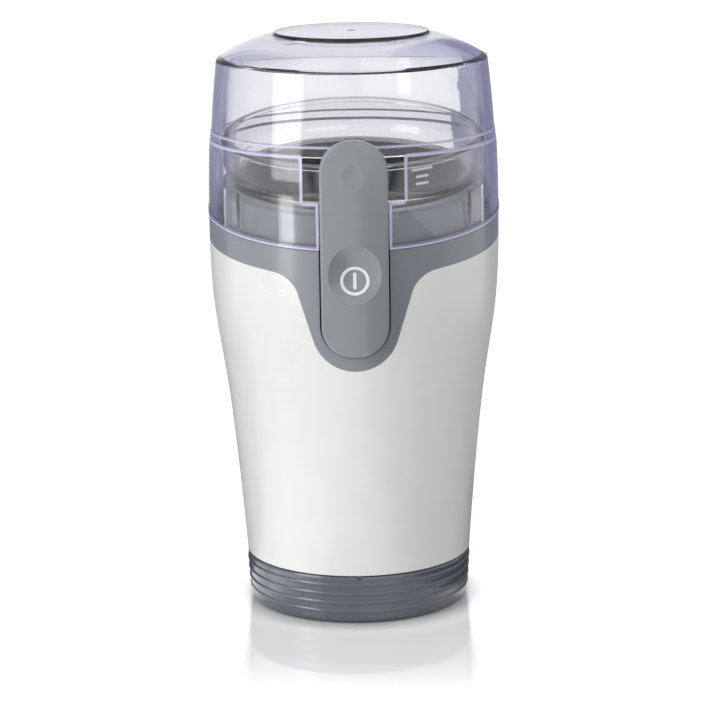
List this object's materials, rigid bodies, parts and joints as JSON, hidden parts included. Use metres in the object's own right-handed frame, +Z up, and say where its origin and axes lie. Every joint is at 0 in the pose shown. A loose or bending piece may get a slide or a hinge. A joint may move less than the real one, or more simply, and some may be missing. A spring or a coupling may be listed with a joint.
{
  "type": "electric spice grinder",
  "caption": "Hand-high electric blade grinder with a clear lid over a lift-out grinding cup, a grey collar and a front press lever.",
  "frame": {"origin": "on the table plane under the drive axis", "axes": "+Z up along the drive axis, -Y towards the press lever, +X to the right seen from the lever's side"},
  "size_m": [0.0906, 0.0951, 0.18],
  "materials": {
    "white_body": "satin",
    "collar_grey": "satin",
    "base_grey": "satin",
    "lever_grey": "satin",
    "pale_mark": "matte",
    "clear_lid": "clear",
    "clear_cup": "clear",
    "mark_print": "matte",
    "black_plastic": "matte",
    "dark_plastic": "matte",
    "black_rubber": "matte",
    "bowl_steel": "brushed",
    "blade_steel": "ground",
    "shaft_steel": "ground",
    "screw_steel": "zinc plated",
    "spring_steel": "drawn",
    "lamination_steel": "stacked sheet",
    "bracket_metal": "cast",
    "bronze": "sintered",
    "brass": "bright",
    "copper": "enamelled",
    "carbon": "matte",
    "capacitor_yellow": "gloss",
    "fuse_white": "matte"
  },
  "bodies": {
    "housing": {"base_housing": "base_grey", "rubber_feet": "black_rubber", "base_screws": "screw_steel", "cord_gland": "black_rubber", "body_shell": "white_body", "collar": "collar_grey", "collar_screws": "screw_steel", "lever_pin": "shaft_steel", "microswitch": "black_plastic", "switch_screws": "screw_steel", "stator_core": "lamination_steel", "field_coil_left": "copper", "field_coil_right": "copper", "lower_bracket": "bracket_metal", "upper_bracket": "bracket_metal", "lower_bearing": "bronze", "upper_bearing": "bronze", "brush_holders": "brass", "carbon_brushes": "carbon", "brush_springs": "spring_steel", "motor_screws": "screw_steel", "mount_screws": "screw_steel", "mount_washers": "black_rubber", "motor_cushion": "black_rubber", "suppression_capacitor": "capacitor_yellow", "thermal_fuse": "fuse_white"},
    "rotor": {"motor_shaft": "shaft_steel", "armature_core": "lamination_steel", "armature_windings": "copper", "commutator": "copper", "cooling_fan": "dark_plastic", "drive_coupling": "black_plastic"},
    "chamber": {"chamber_cup": "clear_cup", "chamber_base": "dark_plastic", "grinding_bowl": "bowl_steel", "level_marks": "mark_print", "shaft_bushing": "bronze", "shaft_seal": "black_rubber"},
    "blade": {"blade": "blade_steel", "blade_nut": "blade_steel", "blade_shaft": "shaft_steel", "thrust_washer": "fuse_white", "blade_coupling": "black_plastic"},
    "lid": {"lid": "clear_lid"},
    "lever": {"front_lever": "lever_grey", "power_symbol": "pale_mark", "lever_springs": "spring_steel"},
    "plunger": {"switch_plunger": "fuse_white"}
  },
  "joints": [
    {"name": "motor_spin", "type": "hinge", "parent": "housing", "child": "rotor", "pos_m": [0, 0, 0.066], "axis": [0, 0, 1], "continuous": true},
    {"name": "chamber_lift", "type": "slide", "parent": "housing", "child": "chamber", "axis": [0, 0, 1], "range_m": [0, 0.06]},
    {"name": "blade_spin", "type": "hinge", "parent": "chamber", "child": "blade", "pos_m": [0, 0, 0.112], "axis": [0, 0, 1], "continuous": true},
    {"name": "lid_lift", "type": "slide", "parent": "chamber", "child": "lid", "axis": [0, 0, 1], "range_m": [0, 0.09]},
    {"name": "lever_press", "type": "hinge", "parent": "housing", "child": "lever", "pos_m": [0, -0.0365, 0.0902], "axis": [-1, 0, 0], "range_deg": [0, 2.5], "stiffness_Nm_per_rad": 1.5, "springref_deg": -5.73},
    {"name": "plunger_travel", "type": "slide", "parent": "housing", "child": "plunger", "axis": [0, 0, -1], "range_m": [0, 0.0005]}
  ],
  "couplings": [
    {"joint": "blade_spin", "follows": "motor_spin", "ratio": 1},
    {"joint": "plunger_travel", "follows": "lever_press", "m_per_rad": 0.0113}
  ]
}
